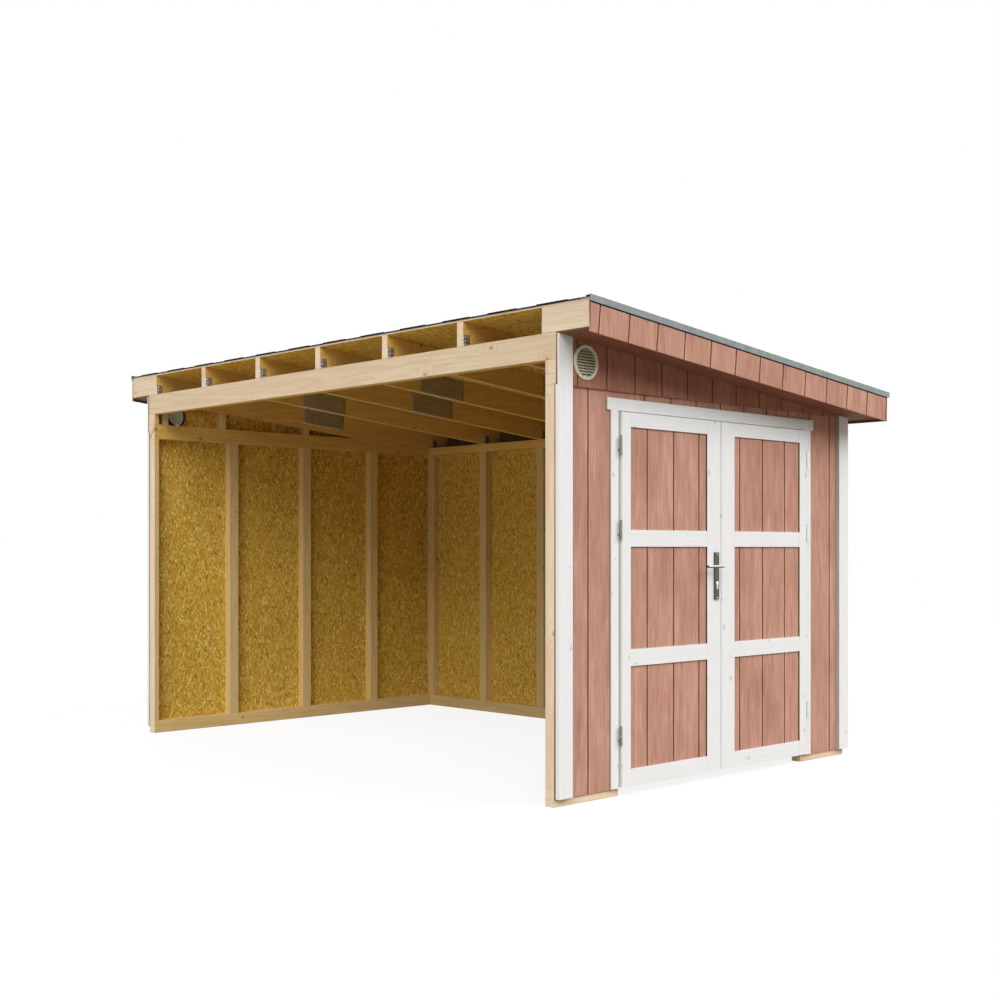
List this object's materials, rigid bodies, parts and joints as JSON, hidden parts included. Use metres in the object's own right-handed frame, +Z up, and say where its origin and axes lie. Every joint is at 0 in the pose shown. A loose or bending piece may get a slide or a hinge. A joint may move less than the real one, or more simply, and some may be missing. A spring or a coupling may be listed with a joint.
{
  "type": "garden shed",
  "caption": "Lean-to timber garden shed, open along its high side, with grooved red siding, white boards, a double door and a low mono-pitch shingle roof.",
  "frame": {"origin": "middle of the whole part's footprint, on the ground", "axes": "+Z up; -Y is the front, with the double door; -X is the open high side; the roof falls towards +X"},
  "size_m": [2.602, 4.188, 2.3846],
  "materials": {
    "spruce": "planed, bare",
    "red_siding": "factory stained, grooved, bare strands on the back",
    "white_board": "primed white, knots showing through",
    "soffit_board": "stained dark red",
    "deck_board": "bare strand board",
    "shingle": "mineral granules",
    "trim_metal": "satin grey",
    "galvanised_steel": "galvanised",
    "hinge_steel": "zinc plated",
    "lock_steel": "satin brushed",
    "vent_plastic": "moulded"
  },
  "bodies": {
    "shed": {"back_cladding": "red_siding", "back_corner_boards": "white_board", "back_gable_cladding": "red_siding", "back_studs": "spruce", "barge_rafters": "spruce", "bottom_plates": "spruce", "door_head": "white_board", "door_jambs": "white_board", "door_lintel": "spruce", "eave_fascia": "red_siding", "eave_soffit": "soffit_board", "eave_trim": "trim_metal", "frame_hinges": "hinge_steel", "front_cladding_left": "red_siding", "front_cladding_over_door": "red_siding", "front_cladding_right": "red_siding", "front_corner_boards": "white_board", "front_gable_cladding": "red_siding", "front_studs": "spruce", "gable_bottom_plates": "spruce", "gable_studs": "spruce", "gable_top_plates": "spruce", "gable_vents": "vent_plastic", "ground_sills": "spruce", "open_side_beam": "spruce", "rafter_brackets": "galvanised_steel", "rafters": "spruce", "roof_deck": "deck_board", "roof_shingles": "shingle", "side_cladding": "red_siding", "side_studs": "spruce", "splice_plates": "galvanised_steel", "verge_blocks": "spruce", "verge_fascias": "red_siding", "verge_soffits": "soffit_board", "verge_trims": "trim_metal", "wall_top_plates": "spruce"},
    "left_door": {"left_door_stiles": "white_board", "left_door_rails": "white_board", "left_door_panels": "red_siding", "left_door_hinges": "hinge_steel", "lock_plates": "lock_steel"},
    "right_door": {"right_door_stiles": "white_board", "right_door_rails": "white_board", "right_door_panels": "red_siding", "right_door_hinges": "hinge_steel"},
    "lever": {"lever_handle": "lock_steel"}
  },
  "joints": [
    {"name": "left_door_swing", "type": "hinge", "parent": "shed", "child": "left_door", "pos_m": [-0.8601, -1.894, 1], "axis": [0, 0, -1], "range_deg": [0, 160]},
    {"name": "right_door_swing", "type": "hinge", "parent": "shed", "child": "right_door", "pos_m": [0.7541, -1.894, 1], "axis": [0, 0, 1], "range_deg": [0, 160]},
    {"name": "handle_turn", "type": "hinge", "parent": "left_door", "child": "lever", "pos_m": [-0.099, -1.877, 1.124], "axis": [0, -1, 0], "range_deg": [0, 40], "stiffness_Nm_per_rad": 1.2, "springref_deg": -45.84}
  ]
}
